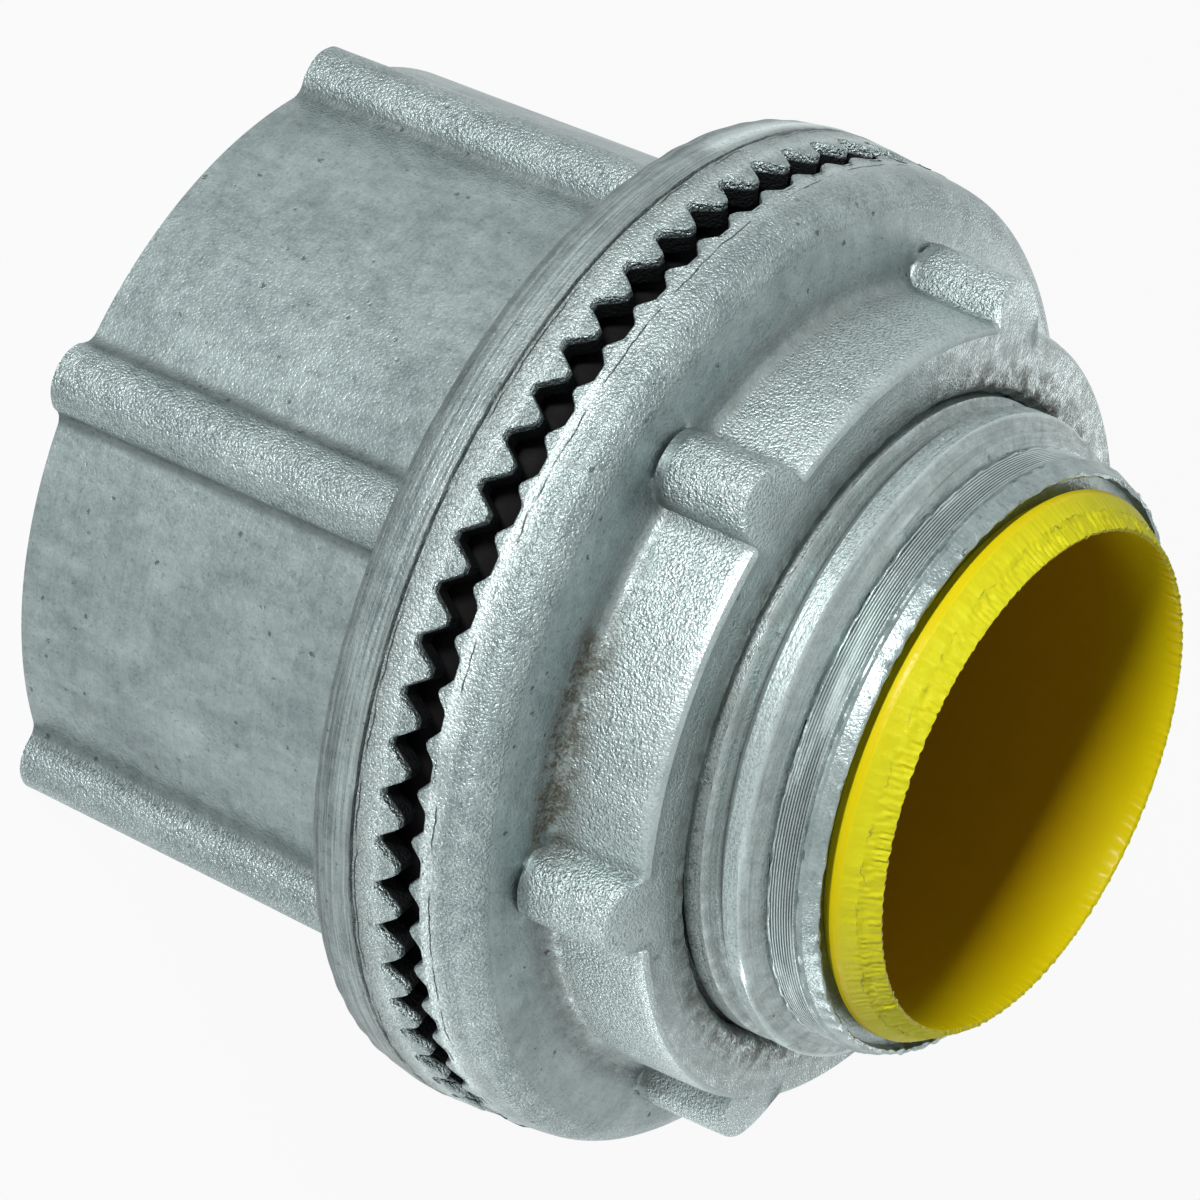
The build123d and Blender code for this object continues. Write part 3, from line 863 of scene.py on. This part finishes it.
# Painted shade: the nut's thread is darker in its lower part
marked(nut_thread, wear=0.0, grime=0.6, sand=0.2, brush=0.4,
       soot=lambda r, a, z: 0.3 * (z < 28.0))
settled(nut_thread)
stands_for("lock_nut", "nut", (nut, nut_thread))


# The throat: a sleeve of yellow plastic moulded into the nose, so that the pulled wires meet no
# metal edge. Its front edge keeps the ragged flash that the mould left.

LINER_END_Z = 23.14
THROAT_R = 10.3
LIP_R = 11.43
LIP_Z = 36.92
LIP_COLUMNS = 960

throat_plastic, t, surface, own = new_material("yellow_throat_plastic")
spot, angle, r, z = axis_place(t, own)
cloud = noise(t, spot, 0.35, 4.0)
scuff = noise(t, spot, 2.2, 5.0, 0.65)
# Painted shade: deeper in the throat the yellow is painted orange-brown, as shade and light bounced
# between its walls
deep = calc(t, "MULTIPLY", ramp(t, z, 33.0, 36.3, 1.0, 0.0), calc(t, "LESS_THAN", r, 10.6))
front = mark_of(t, "flash")
colour = blend(t, ramp(t, cloud, 0.3, 0.7), (0.82, 0.68, 0.003), (0.86, 0.74, 0.005))
colour = blend(t, deep, colour, (0.80, 0.50, 0.003))
colour = blend(t, calc(t, "MULTIPLY", front, ramp(t, scuff, 0.0, 0.6, 0.5, 1.0)), colour,
               (0.80, 0.80, 0.02))
seam = calc(t, "MULTIPLY", crack(t, spot, r, z, 36.2, 10.5, 0.02, 0.9),
            ramp(t, scuff, 0.42, 0.55))
colour = blend(t, calc(t, "MULTIPLY", seam, 0.75), colour, (0.30, 0.29, 0.05))
t.links.new(colour, surface.inputs["Base Color"])
t.links.new(ramp(t, calc(t, "ADD", scuff, front), 0.4, 1.6, 0.28, 0.55),
            surface.inputs["Roughness"])
surface.inputs["Specular IOR Level"].default_value = 0.15
bumped(t, surface, calc(t, "MULTIPLY", scuff, ramp(t, front, 0.0, 1.0, 0.12, 1.0)), 0.10, 0.5)

throat_outline = [
    row(THROAT_R, LINER_END_Z),
    row(LINER_SEAT_R - 0.02, LINER_END_Z),
    row(LINER_SEAT_R - 0.02, NOSE_Z + 0.01),
    row(LIP_R, NOSE_Z + 0.01, 0.05),
    row(LIP_R - 0.03, 35.50, ragged=0.006),
    row(LIP_R - 0.08, 35.58, ragged=0.01),
    row(LIP_R - 0.40, 36.08),
    row(LIP_R - 0.43, 36.15, ragged=0.04),
    *[row(LIP_R - 0.53 - 0.062 * k, 36.26 + 0.096 * k, ragged=0.06 if k % 2 else 0.03)
      for k in range(6)],
    row(THROAT_R + 0.17, LIP_Z, ragged=0.04),
    row(THROAT_R + 0.05, LIP_Z - 0.05, ragged=0.04),
    row(THROAT_R + 0.02, LIP_Z - 0.12),
    row(THROAT_R, LIP_Z - 0.8),
    row(THROAT_R, 33.0),
    row(THROAT_R, 28.0),
    row(THROAT_R, LINER_END_Z),
]
throat = skin("throat_liner_sleeve", [throat_outline], LIP_COLUMNS, seed=77, finest=300)
throat.data.materials.append(throat_plastic)
marked(throat, flash=lambda r, a, z: window(z, 35.6, 37.2, 0.08) * (r > THROAT_R + 0.1))
settled(throat, 50)
stands_for("throat_liner", "casting", (throat,))


# The set: a white floor and world, soft lamps, and the camera at the photograph's angle.
# The floor lies a hair under the mouth, and is clear from below, so that the underside shows.

FLOOR_Z = -0.03 * MM
FLOOR_HALF = 2
LAMP_FAR = 0.45
MIDDLE = Vector((0, 0, 22 * MM))
EYE = Vector((-7.53, -245.83, 150.21)) * MM


def unlit_rays(tree):
    """1 for rays that see the set itself, 0 for those that only gather its light."""
    seen = tree.nodes.new("ShaderNodeLightPath").outputs
    return calc(tree, "MAXIMUM", seen["Is Camera Ray"], calc(
        tree, "MAXIMUM", seen["Is Glossy Ray"], seen["Is Transmission Ray"]))


world = bpy.data.worlds.new("white_room")
bpy.context.scene.world = world
world.use_nodes = True
t = world.node_tree
sky = t.nodes["Background"]
sky.inputs["Color"].default_value = (1, 1, 1, 1)
t.links.new(ramp(t, unlit_rays(t), 0.0, 1.0, 0.10, 1.0), sky.inputs["Strength"])

floor_white, t, surface, _ = new_material("white_floor")
floor_white.use_transparent_shadow = False
surface.inputs["Base Color"].default_value = (0.92, 0.92, 0.92, 1)
surface.inputs["Roughness"].default_value = 0.9
glow = t.nodes.new("ShaderNodeEmission")
lit = t.nodes.new("ShaderNodeMixShader")
t.links.new(calc(t, "MULTIPLY", unlit_rays(t), 0.93), lit.inputs[0])
t.links.new(surface.outputs[0], lit.inputs[1])
t.links.new(glow.outputs[0], lit.inputs[2])
clear = t.nodes.new("ShaderNodeBsdfTransparent")
either = t.nodes.new("ShaderNodeMixShader")
t.links.new(t.nodes.new("ShaderNodeNewGeometry").outputs["Backfacing"], either.inputs[0])
t.links.new(lit.outputs[0], either.inputs[1])
t.links.new(clear.outputs[0], either.inputs[2])
t.links.new(either.outputs[0], t.nodes["Material Output"].inputs["Surface"])
floor_mesh = bpy.data.meshes.new("floor")
corners = [(x * FLOOR_HALF, y * FLOOR_HALF, FLOOR_Z)
           for x, y in ((-1, -1), (1, -1), (1, 1), (-1, 1))]
floor_mesh.from_pydata(corners, [], [(0, 1, 2, 3)])
floor_mesh.materials.append(floor_white)
floor = bpy.data.objects.new("floor", floor_mesh)
bpy.context.collection.objects.link(floor)


def lamp(name, azimuth, rise, size, power):
    """A soft lamp at an azimuth and rise in degrees, aimed at the part's middle."""
    light = bpy.data.lights.new(name, "AREA")
    light.size = size
    light.energy = power
    light.color = (1.0, 0.97, 0.96)
    azimuth, rise = math.radians(azimuth), math.radians(rise)
    obj = bpy.data.objects.new(name, light)
    obj.location = MIDDLE + LAMP_FAR * Vector((
        math.cos(rise) * math.cos(azimuth), math.cos(rise) * math.sin(azimuth), math.sin(rise)))
    obj.rotation_euler = (MIDDLE - obj.location).to_track_quat("-Z", "Y").to_euler()
    obj.visible_camera = False
    bpy.context.collection.objects.link(obj)


lamp("front", -108, 7, 0.09, 1.6)
lamp("behind", 95, 9, 0.14, 0.25)
lamp("low", 15, 5, 0.14, 0.5)

camera = bpy.data.cameras.new("camera")
camera.lens = 210
camera.sensor_width = 36
camera.clip_start = 0.01
eye = bpy.data.objects.new("camera", camera)
right = Vector((-0.38647, 0.45100, 0.80451))
up = Vector((-0.92188, -0.16255, -0.35173))
back = Vector((-0.02786, -0.87759, 0.47859))
turn = Matrix((right, up, back)).transposed().to_4x4()
eye.matrix_world = Matrix.Translation(EYE) @ turn
bpy.context.collection.objects.link(eye)
bpy.context.scene.camera = eye
bpy.context.scene.view_settings.view_transform = "Standard"
